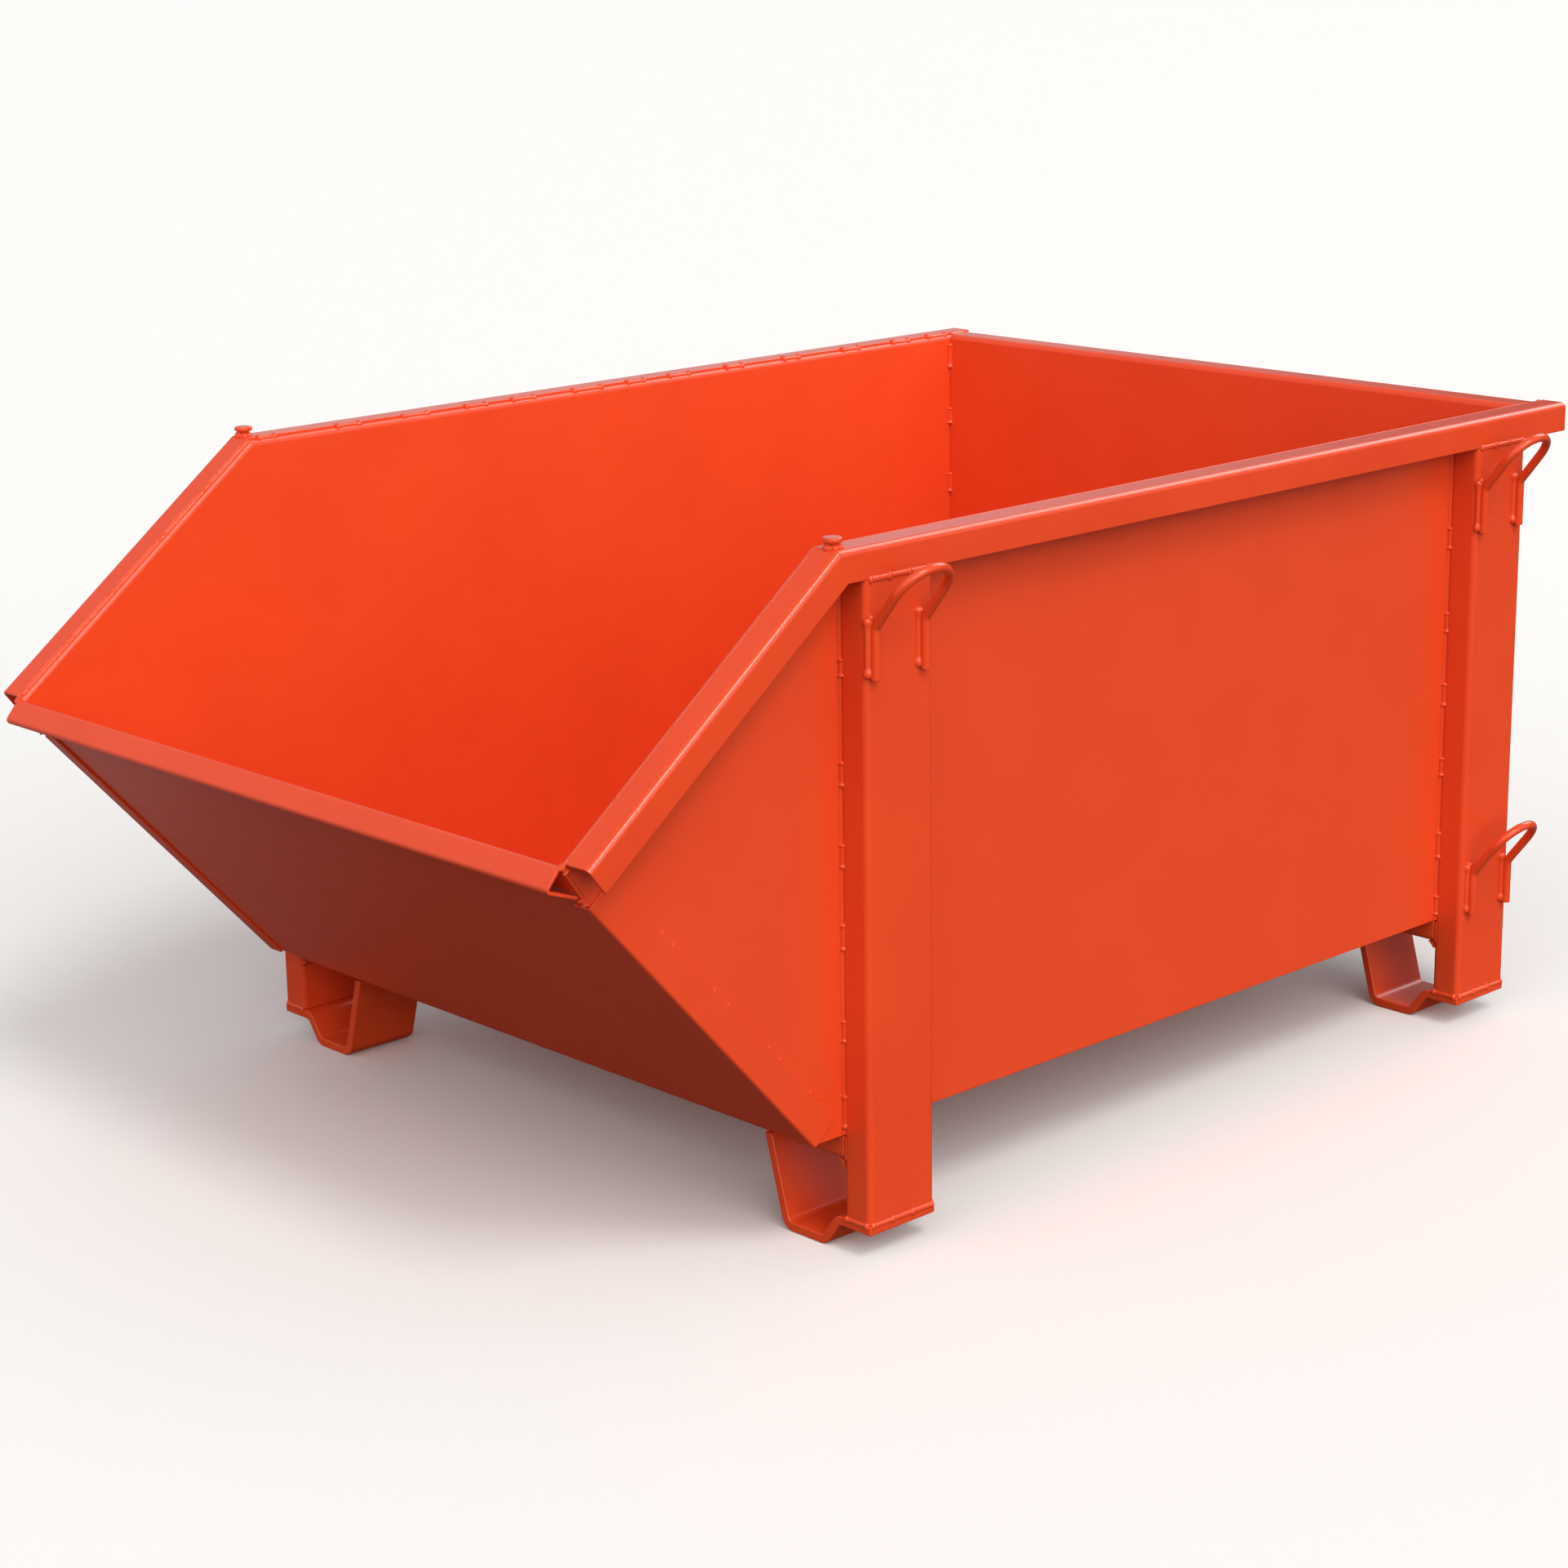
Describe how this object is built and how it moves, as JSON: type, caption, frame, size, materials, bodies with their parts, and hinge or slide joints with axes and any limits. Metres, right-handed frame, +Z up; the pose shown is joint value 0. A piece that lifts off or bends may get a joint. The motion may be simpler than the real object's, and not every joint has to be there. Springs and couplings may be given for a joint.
{
  "type": "stackable open-fronted waste container",
  "caption": "Open-topped steel waste container with a sloping pouring front, side posts on stacking feet, welded rims and bent-bar lifting eyes; shown standing upright.",
  "frame": {"origin": "on the ground, at the middle of the bounding box's footprint", "axes": "+Z up, -Y towards the open pouring front, +X towards the container's left-hand side as someone inside it sees it when facing the pouring front (the side on the right of someone standing in front and facing it)"},
  "size_m": [1.3368, 1.846, 0.8953],
  "materials": {
    "sheet_paint": "glossy sprayed enamel on steel sheet",
    "section_paint": "glossy sprayed enamel on rolled and bent steel sections",
    "bar_paint": "glossy sprayed enamel on round steel bar and turned studs"
  },
  "bodies": {
    "root": {"side_sheet_right": "sheet_paint", "side_sheet_left": "sheet_paint", "back_sheet": "sheet_paint", "floor_sheet": "sheet_paint", "front_sheet": "sheet_paint", "edge_angle_right": "sheet_paint", "edge_angle_left": "sheet_paint", "rim_level_right": "section_paint", "rim_level_left": "section_paint", "rim_sloped_right": "section_paint", "rim_sloped_left": "section_paint", "rim_back": "section_paint", "post_front_right": "section_paint", "post_front_left": "section_paint", "foot_front_right": "section_paint", "foot_front_left": "section_paint", "cross_member_front": "section_paint", "upper_eye_front_right": "bar_paint", "upper_eye_front_left": "bar_paint", "post_rear_right": "section_paint", "post_rear_left": "section_paint", "foot_rear_right": "section_paint", "foot_rear_left": "section_paint", "cross_member_rear": "section_paint", "upper_eye_rear_right": "bar_paint", "upper_eye_rear_left": "bar_paint", "lower_eye_rear_right": "bar_paint", "lower_eye_rear_left": "bar_paint", "stop_stud_right": "bar_paint", "stop_stud_left": "bar_paint"}
  },
  "joints": []
}
